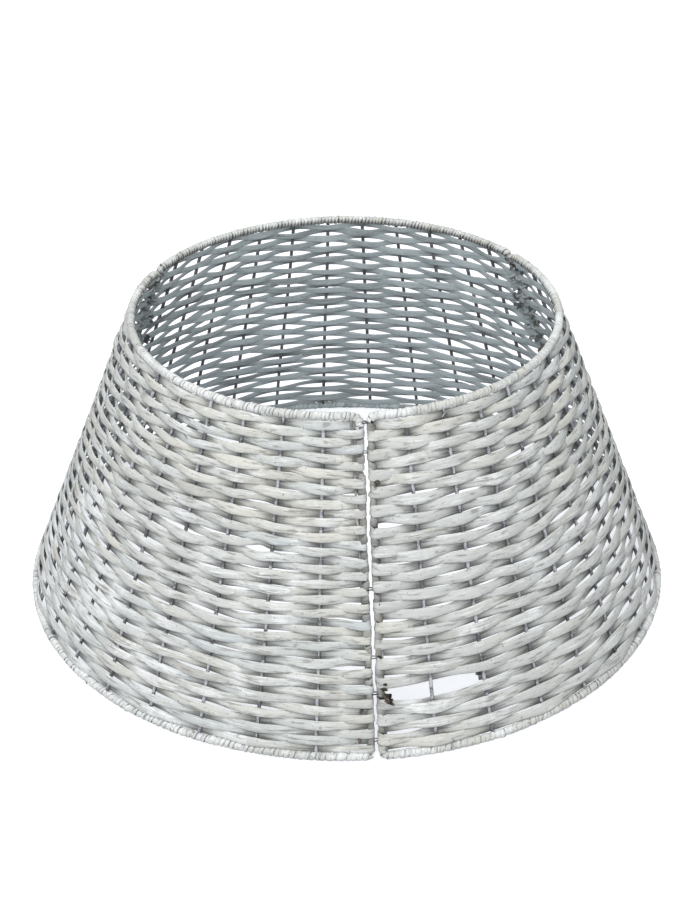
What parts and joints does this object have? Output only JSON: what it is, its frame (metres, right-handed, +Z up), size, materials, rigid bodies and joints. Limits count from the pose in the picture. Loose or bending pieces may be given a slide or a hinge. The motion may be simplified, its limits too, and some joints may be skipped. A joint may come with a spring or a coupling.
{
  "type": "christmas tree collar",
  "caption": "Cone-shaped woven willow collar of wire-framed panels, tied together at slanted seams, that stands round a tree's foot and hides its stand.",
  "frame": {"origin": "on the floor, on the cone's axis", "axes": "+Z up along the cone's axis, -Y towards the front seam, +X to the right seen from the front"},
  "size_m": [0.6998, 0.6994, 0.3207],
  "materials": {
    "frame_wire": "drawn wire, grey and dull",
    "stake_wire": "straight grey wire, dull, with a little wash on it",
    "tie_wire": "thin dark annealed wire",
    "woven_willow": "split willow with a thin grey-white wash, matt",
    "wound_willow": "split willow wound tightly, with a thin grey-white wash, matt"
  },
  "bodies": {
    "back_panel": {"back_frame": "frame_wire", "back_stake_01": "stake_wire", "back_stake_02": "stake_wire", "back_stake_03": "stake_wire", "back_stake_04": "stake_wire", "back_stake_05": "stake_wire", "back_stake_06": "stake_wire", "back_stake_07": "stake_wire", "back_stake_08": "stake_wire", "back_stake_09": "stake_wire", "back_stake_10": "stake_wire", "back_stake_11": "stake_wire", "back_weave_lower": "woven_willow", "back_weave_middle": "woven_willow", "back_weave_upper": "woven_willow", "back_top_binding": "wound_willow", "back_base_binding": "wound_willow"},
    "left_panel": {"left_frame": "frame_wire", "left_stake_01": "stake_wire", "left_stake_02": "stake_wire", "left_stake_03": "stake_wire", "left_stake_04": "stake_wire", "left_stake_05": "stake_wire", "left_stake_06": "stake_wire", "left_stake_07": "stake_wire", "left_stake_08": "stake_wire", "left_stake_09": "stake_wire", "left_stake_10": "stake_wire", "left_stake_11": "stake_wire", "left_weave_lower": "woven_willow", "left_weave_middle": "woven_willow", "left_weave_upper": "woven_willow", "left_top_binding": "wound_willow", "left_base_binding": "wound_willow", "left_hinge_tie_1": "tie_wire", "left_hinge_tie_2": "tie_wire", "left_hinge_tie_3": "tie_wire"},
    "right_panel": {"right_frame": "frame_wire", "right_stake_01": "stake_wire", "right_stake_02": "stake_wire", "right_stake_03": "stake_wire", "right_stake_04": "stake_wire", "right_stake_05": "stake_wire", "right_stake_06": "stake_wire", "right_stake_07": "stake_wire", "right_stake_08": "stake_wire", "right_stake_09": "stake_wire", "right_stake_10": "stake_wire", "right_stake_11": "stake_wire", "right_weave_lower": "woven_willow", "right_weave_middle": "woven_willow", "right_weave_upper": "woven_willow", "right_top_binding": "wound_willow", "right_base_binding": "wound_willow", "right_hinge_tie_1": "tie_wire", "right_hinge_tie_2": "tie_wire", "right_hinge_tie_3": "tie_wire", "front_tie_1": "tie_wire", "front_tie_2": "tie_wire", "front_tie_3": "tie_wire"}
  },
  "joints": [
    {"name": "left_panel_hinge", "type": "hinge", "parent": "back_panel", "child": "left_panel", "pos_m": [-0.29613, 0.17709, 0.004], "axis": [-0.3176, 0.1834, -0.9303], "range_deg": [0, 110]},
    {"name": "right_panel_hinge", "type": "hinge", "parent": "back_panel", "child": "right_panel", "pos_m": [0.29613, 0.17709, 0.004], "axis": [-0.3176, -0.1834, 0.9303], "range_deg": [0, 110]}
  ]
}
